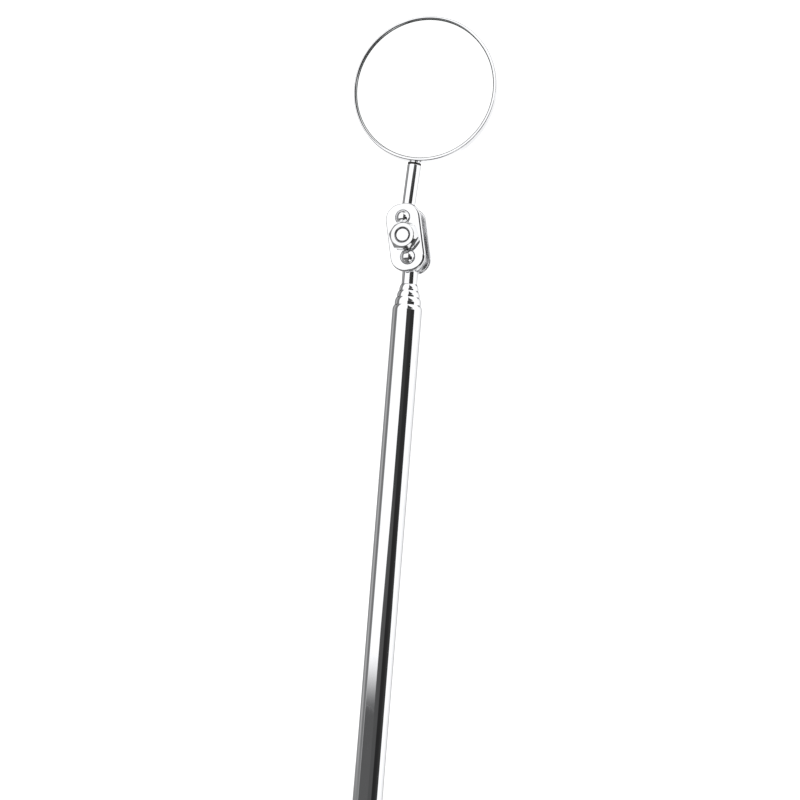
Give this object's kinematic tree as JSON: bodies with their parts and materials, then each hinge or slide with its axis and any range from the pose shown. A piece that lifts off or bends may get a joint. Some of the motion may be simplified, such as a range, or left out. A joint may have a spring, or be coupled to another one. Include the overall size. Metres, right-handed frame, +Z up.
{
  "type": "telescoping inspection mirror",
  "caption": "Pocket inspection mirror: a round framed mirror on a double-jointed link at the end of a chromed telescopic rod that slides, turns and tilts.",
  "frame": {"origin": "centre of the butt end of the outer tube's wall, on the tube's axis", "axes": "+Z up the tube towards the mirror, mirror facing -Y, +X to the right seen from the mirror's face; telescope closed up"},
  "size_m": [0.0317, 0.0116, 0.1814],
  "materials": {
    "tube_chrome": "bright chrome plate on drawn tube, fine lengthwise draw marks",
    "turned_chrome": "bright chrome plate on turned balls and stem",
    "plate_chrome": "bright chrome plate on pressed plates, rounded edges",
    "fastener_chrome": "bright zinc-chrome plate on screw and nut",
    "frame_chrome": "bright chrome plate on pressed sheet, spun rim",
    "brass_plug": "plain turned brass",
    "spring_bronze": "rolled phosphor bronze strip",
    "mirror_glass": "silvered flat glass, ground edge",
    "foam_adhesive": "closed-cell foam tape"
  },
  "bodies": {
    "handle": {"outer_tube": "tube_chrome", "butt_plug": "turned_chrome"},
    "section_2": {"tube_2": "tube_chrome", "tail_plug_2": "brass_plug", "friction_shells_2": "spring_bronze"},
    "section_3": {"tube_3": "tube_chrome", "tail_plug_3": "brass_plug", "friction_shells_3": "spring_bronze"},
    "section_4": {"tube_4": "tube_chrome", "tail_plug_4": "brass_plug", "friction_shells_4": "spring_bronze"},
    "slider_5": {"friction_shells_5": "spring_bronze"},
    "section_5": {"rod": "tube_chrome", "tail_plug_5": "brass_plug", "lower_ball": "turned_chrome"},
    "link": {"front_plate": "plate_chrome", "rear_plate": "plate_chrome", "clamp_screw": "fastener_chrome"},
    "nut": {"clamp_nut": "fastener_chrome"},
    "upper_ball": {"upper_ball": "turned_chrome"},
    "mirror_head": {"stem": "turned_chrome", "mirror_frame": "frame_chrome", "mirror_glass": "mirror_glass", "adhesive_pad": "foam_adhesive"}
  },
  "joints": [
    {"name": "slide_2", "type": "slide", "parent": "handle", "child": "section_2", "axis": [0, 0, 1], "range_m": [0, 0.08535]},
    {"name": "slide_3", "type": "slide", "parent": "section_2", "child": "section_3", "axis": [0, 0, 1], "range_m": [0, 0.0821]},
    {"name": "slide_4", "type": "slide", "parent": "section_3", "child": "section_4", "axis": [0, 0, 1], "range_m": [0, 0.07855]},
    {"name": "slide_5", "type": "slide", "parent": "section_4", "child": "slider_5", "axis": [0, 0, 1], "range_m": [0, 0.075]},
    {"name": "head_spin", "type": "hinge", "parent": "slider_5", "child": "section_5", "pos_m": [0, 0, 0.1], "axis": [0, 0, 1], "continuous": true},
    {"name": "link_swing", "type": "hinge", "parent": "section_5", "child": "link", "pos_m": [0, 0, 0.1263], "axis": [-0.2656, -0.9641, 0], "range_deg": [-87.1, 62.9]},
    {"name": "nut_turn", "type": "hinge", "parent": "link", "child": "nut", "pos_m": [-0.00089, 0.00024, 0.1306], "axis": [-0.2656, -0.9641, 0], "range_deg": [-30, 180]},
    {"name": "mirror_swing", "type": "hinge", "parent": "link", "child": "upper_ball", "pos_m": [-0.00178, 0.00049, 0.1349], "axis": [-0.2656, -0.9641, 0], "range_deg": [-59.26, 90.74]},
    {"name": "mirror_twist", "type": "hinge", "parent": "upper_ball", "child": "mirror_head", "pos_m": [-0.00178, 0.00049, 0.1349], "axis": [0.0612, -0.0169, 0.998], "continuous": true}
  ]
}
